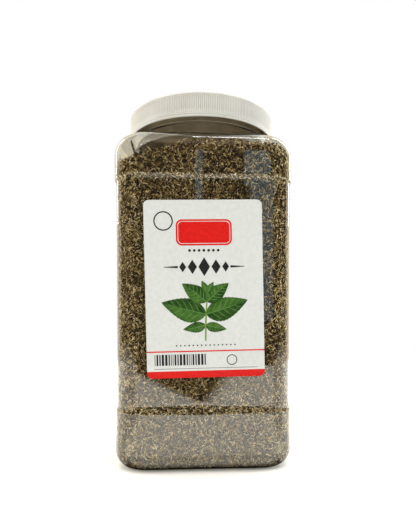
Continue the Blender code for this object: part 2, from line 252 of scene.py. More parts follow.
# %% Jar material
pet, tree, shader = new_material("clear_plastic")
shader.inputs["Base Color"].default_value = (0.955, 0.965, 0.955, 1.0)
shader.inputs["Roughness"].default_value = 0.015
shader.inputs["IOR"].default_value = 1.57
shader.inputs["Transmission Weight"].default_value = 1.0
bump_by(tree, shader, noise(tree, 30.0, 1.0), 0.07, 0.0004)
path = add_node(tree, "LightPath")
soft_ray = add_node(tree, "Math", {0: path.outputs["Is Shadow Ray"], 1: path.outputs["Is Diffuse Ray"]},
                    operation="MAXIMUM")
clear = add_node(tree, "BsdfTransparent", {"Color": (0.95, 0.95, 0.94, 1.0)})
either = add_node(tree, "MixShader", {0: soft_ray.outputs[0], 1: shader.outputs[0], 2: clear.outputs[0]})
tree.links.new(either.outputs[0], tree.nodes["Material Output"].inputs["Surface"])
print("plastic nodes:", len(tree.nodes))

# %% [markdown]
# ## The jar
# Outer rings run from the pushed-up base to the rim, inner rings back down: one closed wall
# under a millimetre thick, and thicker at the neck. The screw ridge is not a separate piece on
# a blown jar, so it is raised on the neck's own rows: each point moves out by the height of a
# trapezoid that climbs one lead a turn.

# %% Screw ridge heights
LEAD = 5.08
JAR_THREAD = {"start": 254.4, "turns": 1.25}
CAP_THREAD = {"start": 254.4 - 1.85, "turns": 1.1}


def ridge_share(angle, z, start, turns, half_foot=0.95, half_top=0.55):
    """From 0 beside the ridge to 1 on its crest, for points at these angles and heights."""
    best = np.zeros(np.broadcast(angle, z).shape)
    for wrap in range(int(math.ceil(turns)) + 1):
        around = (angle % (2.0 * np.pi)) + 2.0 * np.pi * wrap
        travelled = around / (2.0 * np.pi * turns)
        off_line = np.abs(z - start - LEAD * around / (2.0 * np.pi))
        rise = np.clip((half_foot - off_line) / (half_foot - half_top), 0, 1)
        run_out = np.clip(np.minimum(travelled, 1.0 - travelled) / 0.07, 0.0, 1.0)
        best = np.maximum(best, rise * run_out)
    return best


# %% [markdown]
# A free-standing bottle's base is pushed up in the middle, so that it stands on a ring near its
# edge. The neck's rows lie closer together where the bead and the ridge need them, and the
# inner rings follow the outer ones down again.

# %% Jar wall
JAR_CREST = 54.5
PUSH_UP = [(3.0, 2.0, 1.2), (14.0, 10.0, 4.0), (30.0, 22.0, 8.0), (38.5, 28.0, 10.0), (44.5, 33.0, 11.5)]
outer_z = [3.9, 3.85, 3.1, 1.6, 0.5, 0.0]
outer_rings = [square_ring(*shape) for shape in PUSH_UP + [(46.5, 35.0, 11.5)]]
outer_z += list(heights)
outer_rings += rings
last = rings[-1]
for share, z, radius in ((0.35, 238.85, 56.0), (0.75, 238.98, 55.0), (1.0, 239.1, 54.3),
                         (1.0, 239.35, 53.7), (1.0, 239.8, 53.35), (1.0, 240.5, NECK_R)):
    outer_z.append(z)
    outer_rings.append(last * (1.0 - share) + round_ring(radius) * share)
neck_z = np.concatenate([np.arange(241.5, 245.4, 0.9), np.arange(245.5, 248.0, 0.2),
                         np.arange(248.5, 253.2, 0.9), np.arange(253.3, 262.2, 0.24),
                         [262.9, 263.3, 263.52, RIM_TOP]])
BEAD_Z, BEAD_HALF, RIM_ROUND_Z = 246.7, 0.62, 262.9
ring = round_ring(1.0)
angle = np.arctan2(ring[:, 1], ring[:, 0])
for z in neck_z:
    radius = NECK_R + 1.0 * math.exp(-((z - BEAD_Z) / BEAD_HALF) ** 4) - max(0.0, z - RIM_ROUND_Z) ** 2 * 0.9
    radius = radius + (JAR_CREST - NECK_R) * ridge_share(angle, z, **JAR_THREAD)
    outer_z.append(z)
    outer_rings.append(ring * np.broadcast_to(radius, angle.shape)[:, None])
inner_z = [RIM_TOP, 263.3, 262.5, 252.0, 248.0, 244.0, 240.2, 239.4, 238.9]
inner_rings = [round_ring(r) for r in (52.0, BORE_R + 0.08, *[BORE_R] * 5, 51.9, 52.6)]
heights, rings = body_rings(WALL)
inner_z += list(heights[::-1])
inner_rings += rings[::-1]
inner_z += [1.35, 2.45, 3.95, 4.7, 4.75]
inner_rings += [square_ring(*shape) for shape in PUSH_UP[::-1]]
points = np.concatenate([stack(outer_z, outer_rings), stack(inner_z, inner_rings)])
jar = make_mesh("jar_wall", points, quads_between(len(points) // COLUMNS, COLUMNS))


def close_ends(obj, columns):
    """Caps the first and last rings of a stack."""
    bm = bmesh.new()
    bm.from_mesh(obj.data)
    bm.verts.ensure_lookup_table()
    count = len(bm.verts)
    bm.faces.new([bm.verts[i] for i in range(columns)][::-1])
    bm.faces.new([bm.verts[i] for i in range(count - columns, count)])
    bmesh.ops.recalc_face_normals(bm, faces=bm.faces)
    bm.to_mesh(obj.data)
    bm.free()
    obj.data.shade_smooth()


close_ends(jar, COLUMNS)
jar.data.materials.append(pet)
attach(jar, "jar")
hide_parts("jar")
print("jar wall faces", len(jar.data.polygons))

# %% [markdown]
# ## The cap
# Its grip is a ring of very fine upright ribs, with a smooth double bead at the open end and a
# rounded top edge. Four points a rib make a flat crest and a flat valley. The inside carries the
# matching screw ridge, raised on its rows in the same way as the jar's.

# %% Cap mesh
CAP_BOTTOM, CAP_R, CAP_INNER_R, CAP_CREST = 249.5, 56.6, 55.2, 53.9
RIBS, RIB_DEPTH = 264, 0.36
CAP_COLUMNS = RIBS * 4
cap_angle = np.arange(CAP_COLUMNS) * 2.0 * np.pi / CAP_COLUMNS
groove = np.tile([0.0, 0.0, 1.0, 1.0], RIBS)
outer_profile = [  # radius less CAP_R, height over CAP_BOTTOM, ribbed or not
    (-0.35, 0.02, 0), (-0.08, 0.2, 0), (0.0, 0.5, 0), (0.0, 1.0, 0), (-0.12, 1.28, 0), (-0.28, 1.42, 0),
    (-0.12, 1.56, 0), (0.0, 1.85, 0), (0.0, 2.45, 0), (-0.12, 2.72, 0), (-0.2, 2.9, 0), (-0.05, 3.1, 0),
    (-0.02, 3.3, 1), (0.0, 6.0, 1), (0.0, 9.0, 1), (0.0, 12.0, 1), (-0.02, 15.3, 1), (-0.06, 15.7, 0),
    (-0.2, 16.2, 0), (-0.45, 16.6, 0), (-0.8, 16.93, 0), (-1.25, 17.16, 0), (-1.8, 17.28, 0), (-2.6, 17.3, 0),
    (-6.2, 17.3, 0), (-6.8, 17.2, 0), (-7.2, 16.9, 0), (-7.8, 16.8, 0), (-30.0, 16.8, 0), (-56.0, 16.8, 0)]
rows = []
for dr, dz, ribbed in outer_profile:
    radius = CAP_R + dr - RIB_DEPTH * groove * ribbed
    rows.append(np.column_stack([radius * np.cos(cap_angle), radius * np.sin(cap_angle),
                                 np.full(CAP_COLUMNS, CAP_BOTTOM + dz)]))
inner_profile = [(0.45, 0.0), (0.15, 0.15), (0.0, 0.5)]
inner_profile += [(0.0, z) for z in np.arange(0.9, 13.6, 0.42)] + [(0.0, 14.6), (-0.15, 15.2), (-0.6, 15.6)]
inner_profile += [(-5.0, 15.7), (-30.0, 15.7), (-54.6, 15.7)]
inner_rows = []
for dr, dz in inner_profile:
    z = CAP_BOTTOM + dz
    raised = ridge_share(cap_angle, z, **CAP_THREAD) if dr == 0.0 else 0.0
    radius = CAP_INNER_R + dr - (CAP_INNER_R - CAP_CREST) * raised + np.zeros(CAP_COLUMNS)
    inner_rows.append(np.column_stack([radius * np.cos(cap_angle), radius * np.sin(cap_angle),
                                       np.full(CAP_COLUMNS, z)]))
points = np.concatenate(rows[::-1] + inner_rows)
cap = make_mesh("cap_shell", points, quads_between(len(rows) + len(inner_rows), CAP_COLUMNS))
close_ends(cap, CAP_COLUMNS)
cap.data.set_sharp_from_angle(angle=math.radians(50.0))
print("cap faces", len(cap.data.polygons), "ribs", RIBS)

# %% [markdown]
# White polypropylene is warm, slightly waxy and lets a little light into itself. Moulding leaves
# a very fine texture, and handling leaves faint uneven gloss.

# %% Cap material
plastic, tree, shader = new_material("white_polypropylene")
mottle = noise(tree, 60.0, 4.0)
colour_by(tree, shader, mottle, [(0.3, (0.565, 0.560, 0.520)), (0.7, (0.610, 0.606, 0.565))])
gloss = add_node(tree, "MapRange", {"Value": mottle, "To Min": 0.36, "To Max": 0.5})
tree.links.new(gloss.outputs["Result"], shader.inputs["Roughness"])
bump_by(tree, shader, noise(tree, 2600.0, 2.0), 0.25, 0.0001)
shader.inputs["Subsurface Weight"].default_value = 0.12
shader.inputs["Subsurface Radius"].default_value = (0.003, 0.0025, 0.002)
shader.inputs["Subsurface Scale"].default_value = 0.6
shader.inputs["IOR"].default_value = 1.49
cap.data.materials.append(plastic)

# %% [markdown]
# Rubbed herb sheds a fine dust that clings to the inside of a cap that is tipped and screwed
# on many times. The faces that look inward or down get a second, matt brown material: herb dust
# with painted shade, darker than dust alone, for the shadow inside the cap. The grip and the top
# stay white. This is why the neck looks brown through the clear plastic.

# %% Herb dust and painted shade inside the cap
dust_and_shade, tree, shader = new_material("polypropylene_dust_and_painted_shade")
colour_by(tree, shader, noise(tree, 220.0, 5.0), [(0.3, (0.20, 0.145, 0.075)), (0.7, (0.35, 0.27, 0.165))])
shader.inputs["Roughness"].default_value = 0.8
shader.inputs["Specular IOR Level"].default_value = 0.1
cap.data.materials.append(dust_and_shade)
INNER_TOP_LOW, INNER_TOP_HIGH = 0.262, 0.2655  # m, on both sides of the cap's inner top
centres, normals = np.empty((2, len(cap.data.polygons), 3))
cap.data.polygons.foreach_get("center", centres.ravel())
cap.data.polygons.foreach_get("normal", normals.ravel())
faces_in = (centres[:, :2] * normals[:, :2]).sum(1) < -0.02
faces_down = (normals[:, 2] < -0.7) & (centres[:, 2] > INNER_TOP_LOW)
inside = (faces_in | faces_down) & (centres[:, 2] < INNER_TOP_HIGH)
# painted shade: these inward and downward faces take the dark brown material
cap.data.polygons.foreach_set("material_index", inside.astype(np.int32))
print("faces inside the cap", int(inside.sum()))
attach(cap, "cap")
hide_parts("cap")

# %% [markdown]
# ## The liner
# A disc of foam with a crinkled facing lies in the cap's top. Its brown is the same herb dust
# with painted shade as the cap around it, darkened for the shadow inside the cap, and it is nearly
# matt from below. The imported solid already has the right shape, so it only gets a material.

# %% Liner material, with painted shade
liner_dust_and_shade, tree, shader = new_material("liner_dust_and_painted_shade")
crinkle = noise(tree, 150.0, 3.0)
# painted shade: the brown ramp is darker than the dust alone, for the shade under the cap
colour_by(tree, shader, crinkle, [(0.3, (0.22, 0.163, 0.090)), (0.7, (0.35, 0.272, 0.160))])
bump_by(tree, shader, crinkle, 0.4, 0.0006)
shader.inputs["Specular IOR Level"].default_value = 0.15
shader.inputs["Roughness"].default_value = 0.5
liner = bpy.data.objects["cap_liner"]
for slot in liner.material_slots:
    slot.material = liner_dust_and_shade
print(liner.name, "material slots:", len(liner.material_slots))

# %% [markdown]
# ## The herb's level
# The jar was filled and knocked about a little: the herb stands high on the right and falls away
# to the left, where clear air shows under the shoulder. This is the same surface as the packed
# model's, so the chips end where its fill ends.

# %% Height of the herb
def heap_height(x, y):
    """Height of the herb's surface in mm."""
    fall, slope = np.clip((-x - 4.0) / 56.0, 0.0, 1.0), np.clip((x - 30.0) / 28.0, 0.0, 1.0)
    return (231.2 - 13.0 * fall * fall * (3.0 - 2.0 * fall) - 5.0 * slope * slope - 0.02 * (y + 62.0)
            + 0.7 * np.sin(x / 9.0 + 1.3) * np.cos(y / 11.0) + 0.5 * np.sin(x / 4.7 - y / 6.1))


inner_heights, inner_rings = body_rings(WALL, wall_step=4.0)
inner_rings = np.array(inner_rings)


def wall_point(column, z):
    """Plan point of the inner wall on this column at height z, both as arrays."""
    k = np.clip(np.searchsorted(inner_heights, z) - 1, 0, len(inner_heights) - 2)
    t = np.clip((z - inner_heights[k]) / (inner_heights[k + 1] - inner_heights[k]), 0.0, 1.0)[:, None]
    a, b = column.astype(int) % COLUMNS, (column.astype(int) + 1) % COLUMNS
    s = (column % 1.0)[:, None]
    low = inner_rings[k, a] * (1 - s) + inner_rings[k, b] * s
    high = inner_rings[k + 1, a] * (1 - s) + inner_rings[k + 1, b] * s
    return low * (1 - t) + high * t


print("herb at the front, left to right, mm:", [round(float(heap_height(x, -62.0)), 1) for x in (-60, -20, 20, 60)])

# %% [markdown]
# ## The dark heart of the heap
# Between the chips the eye sees only shadow and more leaf. A rough dark mass a few millimetres
# inside the wall stands for all the leaf that is never seen, so only the outer layers need to be
# real chips. Its leaf colour is darkened with painted shade, for the shadow in the gaps between them.

# %% Core of the heap
rng = np.random.default_rng(62)
CORE_ROWS, CORE_DEPTH = 90, 2.3
columns = np.arange(COLUMNS).astype(float)
CORE_FLOOR, CORE_HIGHEST = 3.4, 233.0
rows = []
edge = wall_point(columns, np.full(COLUMNS, 200.0)) * 0.95
top = np.minimum(heap_height(edge[:, 0], edge[:, 1]) - 2.0, CORE_HIGHEST)
for share in np.linspace(0.0, 1.0, CORE_ROWS):
    z = CORE_FLOOR + (top - CORE_FLOOR) * share
    plan = wall_point(columns, z)
    size = np.linalg.norm(plan, axis=1)[:, None]
    plan = plan * (1.0 - (CORE_DEPTH + rng.uniform(-0.4, 0.4, (COLUMNS, 1))) / size)
    rows.append(np.column_stack([plan, z]))
rim = rows[-1][:, :2]
for share in (0.9, 0.75, 0.55, 0.35, 0.15, 0.03):
    plan = rim * share
    z = heap_height(plan[:, 0], plan[:, 1]) - 1.6 + rng.uniform(-0.4, 0.4, COLUMNS)
    rows.append(np.column_stack([plan, z]))
floor_rows = []
for share in (0.05, 0.5, 0.8, 0.95):
    plan = rows[0][:, :2] * share
    floor_rows.append(np.column_stack([plan, np.full(COLUMNS, 6.2 if share < 0.9 else 4.2)]))
points = np.concatenate(floor_rows + rows)
core = make_mesh("leaf_core", points, quads_between(len(points) // COLUMNS, COLUMNS))
close_ends(core, COLUMNS)
print("core faces", len(core.data.polygons))

# %% [markdown]
# ## Cut leaf chips
# Dried basil is rubbed into flat crumbs, with some pale pieces of stem among them. Each chip is
# a flattened four-cornered solid, which looks like a scrap of leaf with a crease in it. Pressed
# against a wall they lie nearly flat on it, tilted a little each way. Every chip is pushed in
# until its outermost corner is just inside the plastic, so no leaf pokes through the jar.

# %% Chip helpers
profile_half = np.array([ring[0, 0] for ring in inner_rings])
GAP, LOWEST = 0.06, 1.2  # space kept to the wall, and the lowest corner's height
PANEL_CENTRE = 42.9  # centre of the panel's corner arc, from the middle of the jar
ROUNDED_HALF = BAND_HALF - WALL - 2.3  # below this half width the base or shoulder has begun


def room(points):
    """How far inside the inner wall each point is, measured level, in mm."""
    z = points[..., 2]
    half = np.interp(z, inner_heights, profile_half)
    panel = np.clip((BAND_HALF - WALL - half) / (BAND_HALF - PANEL_HALF), 0.0, 1.0)
    panel = np.where((z > LOWER_LEDGE[0] - 1) & (z < UPPER_LEDGE[1] + 1), panel, 0.0)
    radius = (BAND_CORNER * (1 - panel) + PANEL_CORNER * panel) - WALL
    centre = BAND_FLAT * (1 - panel) + PANEL_CENTRE * panel
    centre = np.where(half < ROUNDED_HALF, BAND_FLAT, centre)
    radius = np.where(half < ROUNDED_HALF, np.maximum(half - BAND_FLAT, 4.0), radius)
    x, y = np.abs(points[..., 0]), np.abs(points[..., 1])
    corner = radius - np.hypot(x - centre, y - centre)
    flat = np.minimum(half - x, half - y)
    return np.where((x > centre) & (y > centre), np.minimum(flat, corner), flat)


def chips(centres, normals, long, wide, thick, tilt, seed):
    """Four-cornered chips at these places; returns their points, (chips, 4, 3)."""
    rng = np.random.default_rng(seed)
    count = len(centres)
    side = np.cross(normals, rng.normal(size=(count, 3)))
    side /= np.linalg.norm(side, axis=1)[:, None]
    up = normals + side * np.tan(rng.normal(0.0, tilt, count).clip(-1.2, 1.2))[:, None]
    up /= np.linalg.norm(up, axis=1)[:, None]
    along = np.cross(up, rng.normal(size=(count, 3)))
    along /= np.linalg.norm(along, axis=1)[:, None]
    across = np.cross(up, along)
    a, b, h = long[:, None] / 2, wide[:, None] / 2, thick[:, None] / 2
    skew = rng.uniform(-0.5, 0.5, (count, 4, 1)) * a[:, None]
    corners = np.stack([along * a + up * h, -along * a * 0.9 + up * h,
                        across * b - up * h, -across * b - up * h], 1)
    corners[:, 2] += along * skew[:, 2]
    corners[:, 3] += along * skew[:, 3]
    return centres[:, None] + corners


def push_inside(corners, inward):
    """Moves whole chips inward until every corner and edge middle is GAP inside the wall."""
    for _ in range(4):
        middles = (corners[:, [0, 0, 0, 1, 1, 2]] + corners[:, [1, 2, 3, 2, 3, 3]]) / 2
        lack = np.clip(GAP - np.minimum(room(corners).min(1), room(middles).min(1)), 0.0, None)
        corners = corners + inward[:, None] * lack[:, None, None]
        corners[..., 2] += np.clip(LOWEST - corners[..., 2].min(1), 0.0, None)[:, None]
    return corners


print("room at the centre", round(float(room(np.array([0.0, 0.0, 100.0]))), 1), "mm")

# %% [markdown]
# Chips are spread evenly over the inner wall by area. A small share are stem slivers: long,
# narrow and pale. A tone from 0 to 1 is stored with every chip, and the material turns it into
# colour.

# %% Chips against the wall
def sizes(count, rng):
    """Lengths, widths, thicknesses and tones of a mix of crumbs and stems."""
    stem = rng.random(count) < 0.13
    long = np.where(stem, rng.uniform(1.6, 5.2, count), rng.gamma(4.0, 0.37, count).clip(0.6, 4.4))
    wide = np.where(stem, rng.uniform(0.28, 0.55, count), long * rng.uniform(0.32, 0.75, count))
    thick = np.where(stem, rng.uniform(0.3, 0.55, count), rng.uniform(0.15, 0.5, count))
    tone = np.where(stem, rng.uniform(0.62, 1.0, count), rng.beta(0.95, 1.3, count) * 0.9)
    return long, wide, thick, tone


def chip_piece(name, corners, tone):
    """One mesh of many chips, with each chip's tone on its points."""
    faces = np.array([[0, 1, 2], [1, 0, 3], [0, 2, 3], [2, 1, 3]])
    all_faces = (np.arange(len(corners))[:, None, None] * 4 + faces).reshape(-1, 3)
    obj = make_mesh(name, corners.reshape(-1, 3), all_faces, smooth=False)
    layer = obj.data.attributes.new("tone", "FLOAT", "POINT")
    layer.data.foreach_set("value", np.repeat(tone, 4).astype(np.float32))
    return obj


def wall_chips(count, seed):
    """Places on the inner wall, evenly by area, and the direction inward at each."""
    rng = np.random.default_rng(seed)
    column, z = rng.uniform(0, COLUMNS, count * 3), rng.uniform(1.6, 234.0, count * 3)
    sideways, rise = 0.02, 0.4
    here, beside = wall_point(column, z), wall_point(column + sideways, z)
    above = wall_point(column, z + rise)
    u = np.column_stack([(beside - here) / sideways, np.zeros(len(z))])
    v = np.column_stack([(above - here) / rise, np.ones(len(z))])
    normal = np.cross(v, u)
    area = np.linalg.norm(normal, axis=1)
    top = heap_height(here[:, 0], here[:, 1]) + rng.normal(0.0, 0.5, len(z))
    keep = rng.random(len(z)) < np.minimum(area / np.quantile(area, 0.97), 1.0)
    keep &= (z < top) & (z < 236.5)
    keep &= np.cumsum(keep) <= count
    normal = normal[keep] / area[keep][:, None]
    place = np.column_stack([here, z])[keep]
    inward = np.where((normal[:, :2] * place[:, :2]).sum(1, keepdims=True) > 0, -normal, normal)
    return place, inward


place, inward = wall_chips(300000, 7)
long, wide, thick, tone = sizes(len(place), rng)
# painted light: chips toward the corners and on the ledges get a paler tone, for the light that falls on them there
painted_corner_light = np.clip((np.abs(place[:, :2]).min(1) - 43.0) / 9.0, 0.0, 1.0)
painted_ledge_light = np.any([(place[:, 2] > low - 0.5) & (place[:, 2] < high + 0.5)
                   for low, high in (LOWER_LEDGE, UPPER_LEDGE)], axis=0)
tone = np.minimum(tone + 0.08 * painted_corner_light + 0.16 * painted_ledge_light, 1.0)
sliver = long > 4.0 * wide
depth = np.where(sliver, rng.uniform(0.0, 0.7, len(place)), rng.uniform(0.0, 1.9, len(place)) ** 1.15)
tilt = np.where(sliver, 0.12, 0.45)
corners = chips(place + inward * depth[:, None], inward, long, wide, thick, tilt, 11)
level = np.column_stack([inward[:, :2], np.zeros(len(inward))])
level /= np.linalg.norm(level, axis=1)[:, None] + 1e-9
corners = push_inside(corners, level)
print("wall chips", len(corners), "least room", round(float(room(corners).min()), 2), "mm")

# %% [markdown]
# The base and the open top need chips of their own. Those below rest on the pushed-up floor;
# those on top lie loosely at every angle, as they fell.

# %% Chips on the underside and on top of the heap
def floor_height(points):
    """Height of the pushed-up floor's inner face, by how far a point is from the middle."""
    off_middle = np.abs(points[..., :2]).max(-1)
    return np.interp(off_middle, [0, 14, 30, 38.5, 44.5, 54], [4.75, 4.7, 3.95, 2.45, 1.35, 1.3])


UNDER_CHIPS, TOP_CHIPS = 16000, 30000
under = rng.uniform(-55.0, 55.0, (UNDER_CHIPS, 2))
place = np.column_stack([under, floor_height(under) + 0.45 + rng.uniform(0.0, 1.6, UNDER_CHIPS)])
place = place[room(place) > 0.9]
count = len(place)
long, wide, thick, under_tone = sizes(count, rng)
under_chips = chips(place, np.tile((0.0, 0.0, 1.0), (count, 1)), long, wide, thick, 0.25, 12)
low = floor_height(under_chips) + GAP
under_chips[..., 2] += np.clip(low - under_chips[..., 2], 0.0, None).max(1)[:, None]
safe = room(under_chips).min(1) > 0.05
under_chips, under_tone = under_chips[safe], under_tone[safe]

spot = rng.uniform(-62.0, 62.0, (TOP_CHIPS, 2))
place = np.column_stack([spot, heap_height(spot[:, 0], spot[:, 1]) + rng.uniform(-2.2, 0.5, TOP_CHIPS)])
place = place[room(place) > 1.2]
long, wide, thick, top_tone = sizes(len(place), rng)
top_chips = chips(place, np.tile((0.0, 0.0, 1.0), (len(place), 1)), long, wide, thick, 0.6, 13)
centre = place * (1.0, 1.0, 0.0)
toward = -centre / (np.linalg.norm(centre, axis=1)[:, None] + 1e-9)
top_chips = push_inside(top_chips, toward)
print("under", len(under_chips), "top", len(top_chips))

# %% [markdown]
# A mesh of a few hundred thousand faces is still handy, one of over a million is not. The wall's
# chips are therefore parted by side, and each side at half height.

# %% Chip pieces by side
PART_Z = 110.0
middle = corners.mean(1)
bearing = np.degrees(np.arctan2(middle[:, 1], middle[:, 0])) % 360.0
upper = middle[:, 2] >= PART_Z
leaf_pieces = [core]
for name, start in (("leaf_right", 315), ("leaf_back", 45), ("leaf_left", 135), ("leaf_front", 225)):
    turned = (bearing - start) % 360.0 < 90.0
    for level_name, chosen in (("_low", turned & ~upper), ("_high", turned & upper)):
        leaf_pieces.append(chip_piece(name + level_name, corners[chosen], tone[chosen]))
leaf_pieces.append(chip_piece("leaf_top", top_chips, top_tone))
leaf_pieces.append(chip_piece("leaf_under", under_chips, under_tone))
for piece in leaf_pieces:
    print(piece.name, len(piece.data.polygons))

# %% [markdown]
# ## Leaf colours
# The tone runs from nearly black olive through brown leaf to straw-coloured stem. A fine noise
# varies each scrap, and the finish is fully matt.

# %% Leaf material
leaf, tree, shader = new_material("dried_leaf")
stored = add_node(tree, "Attribute", attribute_name="tone")
spread = add_node(tree, "MapRange", {"Value": noise(tree, 900.0, 3.0), "To Min": -0.1, "To Max": 0.1})
total = add_node(tree, "Math", {0: stored.outputs["Fac"], 1: spread.outputs["Result"]}, operation="ADD")
colour_by(tree, shader, total.outputs[0], [(0.0, (0.004, 0.0025, 0.001)), (0.25, (0.024, 0.0145, 0.004)),
                                           (0.5, (0.098, 0.060, 0.016)), (0.72, (0.27, 0.172, 0.055)),
                                           (0.88, (0.60, 0.43, 0.185)), (1.0, (0.92, 0.77, 0.48))])
shader.inputs["Roughness"].default_value = 0.85
shader.inputs["Specular IOR Level"].default_value = 0.25
# painted shade: the core's leaf is darker than the chips, for the shadow between them
core_leaf_shaded, tree, shader = new_material("dried_leaf_with_painted_shade")
colour_by(tree, shader, noise(tree, 500.0, 5.0), [(0.35, (0.012, 0.008, 0.004)), (0.65, (0.055, 0.040, 0.018))])
shader.inputs["Roughness"].default_value = 0.95
for piece in leaf_pieces:
    piece.data.materials.append(core_leaf_shaded if piece is core else leaf)
    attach(piece, "jar")
    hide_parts("dried_basil")

# %% [markdown]
# ## The label
# A white paper label with rounded corners is stuck on the front panel, very slightly askew. Its
# print is built as thin ink shapes on the paper: a plain plaque, a sprig, a fine rule and a band
# along the foot. Each is a flat outline given a few hundredths of a millimetre of thickness.

# %% Label helpers
LABEL_W, LABEL_H, LABEL_R = 82.0, 122.8, 3.8
LABEL_X, LABEL_Y, LABEL_Z, LABEL_TILT = -0.4, -62.4, 128.3, math.radians(1.2)
label_frame = (Matrix.Translation(Vector((LABEL_X, LABEL_Y, LABEL_Z)) * MM)
               @ Matrix.Rotation(-LABEL_TILT, 4, "Y") @ Matrix.Rotation(math.radians(90.0), 4, "X"))


def flat_piece(name, layers, thick, material):
    """Thin closed plates in the label's plane (mm right, mm up), as layers of (outlines, lift)."""
    whole = bmesh.new()
    for outlines, lift in layers:
        curve = bpy.data.curves.new(name, "CURVE")
        curve.dimensions, curve.fill_mode, curve.extrude = "2D", "BOTH", thick / 2 * MM
        for ring in outlines:
            spline = curve.splines.new("POLY")
            spline.points.add(len(ring) - 1)
            spline.points.foreach_set("co", np.column_stack([np.array(ring) * MM, np.zeros((len(ring), 1)),
                                                             np.ones((len(ring), 1))]).ravel())
            spline.use_cyclic_u = True
        holder = bpy.data.objects.new(name, curve)
        bpy.context.scene.collection.objects.link(holder)
        graph = bpy.context.evaluated_depsgraph_get()
        flat = bpy.data.meshes.new_from_object(holder.evaluated_get(graph))
        bpy.data.objects.remove(holder)
        flat.transform(label_frame @ Matrix.Translation((0, 0, (lift + thick / 2) * MM)))
        whole.from_mesh(flat)
        bpy.data.meshes.remove(flat)
    bmesh.ops.remove_doubles(whole, verts=whole.verts, dist=1e-7)
    mesh = bpy.data.meshes.new(name)
    whole.to_mesh(mesh)
    whole.free()
    obj = bpy.data.objects.new(name, mesh)
    bpy.context.scene.collection.objects.link(obj)
    mesh.materials.append(material)
    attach(obj, "jar")
    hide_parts("label")
    return obj


def rounded_box(cx, cy, w, h, r, steps=10):
    """Outline of a rounded rectangle, w wide and h high."""
    ring = []
    for sx, sy, start in ((1, 1, 0), (-1, 1, 90), (-1, -1, 180), (1, -1, 270)):
        for t in np.radians(np.linspace(start, start + 90, steps)):
            ring.append((cx + sx * (w / 2 - r) + r * math.cos(t),
                         cy + sy * (h / 2 - r) + r * math.sin(t)))
    return ring


# %% [markdown]
# Paper is never perfectly even: faint fibres and a little mottling keep it from looking like
# plastic. Ink lies on it as a thin, slightly glossier film.

# %% Paper and ink
def ink(name, low, high, roughness=0.5, scale=700.0):
    """A paper or ink whose colour wanders between two close tones."""
    mat, tree, shader = new_material(name)
    grain = noise(tree, scale, 4.0)
    colour_by(tree, shader, grain, [(0.35, low), (0.65, high)])
    bump_by(tree, shader, grain, 0.15, 0.00008)
    shader.inputs["Roughness"].default_value = roughness
    shader.inputs["Specular IOR Level"].default_value = 0.2
    return mat


paper = ink("label_paper", (0.600, 0.620, 0.608), (0.645, 0.665, 0.652), 0.6, 380.0)
red_ink = ink("red_ink", (0.56, 0.008, 0.006), (0.67, 0.014, 0.011), 0.45)
black_ink = ink("black_ink", (0.010, 0.010, 0.010), (0.022, 0.022, 0.022), 0.5)
green_ink = ink("green_ink", (0.010, 0.040, 0.005), (0.030, 0.090, 0.012), 0.5, 260.0)
light_green_ink = ink("light_green_ink", (0.024, 0.080, 0.010), (0.062, 0.150, 0.024), 0.5, 260.0)
vein_ink = ink("vein_ink", (0.085, 0.20, 0.04), (0.13, 0.26, 0.07), 0.5)
stem_ink = ink("stem_ink", (0.13, 0.25, 0.05), (0.22, 0.34, 0.10), 0.5)

# %% [markdown]
# The print keeps to plain shapes: a red plaque with a fine white line, two thin rings, a row of
# lozenges, rows of dots, a red rule above a row of bars, and a red foot. They sit where a
# printed label has such things, and none of them says anything.

# %% Sheet and plain print
PAPER_THICK, INK = 0.22, 0.03
circle = [(math.cos(t), math.sin(t)) for t in np.linspace(0, 2 * np.pi, 73)[:-1]]


def disc(cx, cy, r):
    return [(cx + r * x, cy + r * y) for x, y in circle]


sheet = rounded_box(0, 0, LABEL_W, LABEL_H, LABEL_R)
flat_piece("label_sheet", [([sheet], 0.0)], PAPER_THICK, paper)
half_w = LABEL_W / 2
FOOT_TOP, PLAQUE, FRIEZE = -56.6, (0.3, 39.0), 15.3
foot = [p for p in sheet if p[1] < -LABEL_H / 2 + 4.6]
foot = ([(-half_w, FOOT_TOP)] + sorted([p for p in foot if p[0] < 0], key=lambda p: (-p[1], p[0]))
        + sorted([p for p in foot if p[0] > 0], key=lambda p: (p[1], p[0])) + [(half_w, FOOT_TOP)])
rule = [(-half_w, -43.5), (half_w, -43.5), (half_w, -42.6), (-half_w, -42.6)]
flat_piece("label_red", [([rounded_box(*PLAQUE, 38.8, 18.0, 4.2), rule, foot], PAPER_THICK)], INK, red_ink)
line = [rounded_box(*PLAQUE, 36.4, 15.6, 3.2), rounded_box(*PLAQUE, 35.6, 14.8, 2.8)]
flat_piece("label_plaque_edge", [(line, PAPER_THICK + INK)], INK / 2, paper)
strokes = [disc(-27.6, 47.0, 6.7), disc(-27.6, 47.0, 5.8), disc(18.0, -49.5, 3.7), disc(18.0, -49.5, 3.1)]
for cx, half_x, half_y in ((0, 4.0, 6.6), (-8.2, 3.2, 5.0), (8.2, 3.2, 5.0), (-14.9, 2.4, 3.6), (14.9, 2.4, 3.6)):
    strokes.append([(cx, FRIEZE + half_y), (cx + half_x, FRIEZE), (cx, FRIEZE - half_y), (cx - half_x, FRIEZE)])
for side in (-1, 1):
    strokes.append([(side * 18.2, 16.1), (side * 28.0, 15.5), (side * 28.0, 15.1), (side * 18.2, 14.5)][::side])
for row, count, radius, gap in ((26.6, 7, 0.95, 3.3), (-39.0, 15, 0.55, 2.9)):
    strokes += [disc((k - (count - 1) / 2) * gap, row, radius) for k in range(count)]
strokes.append([(-36.0, -55.1), (36.0, -55.1), (36.0, -54.8), (-36.0, -54.8)])
at, widths, bar_low, bar_high = -35.6, [0.5, 0.9, 1.6, 1.2, 0.5, 1.6, 0.9], -52.6, -45.0
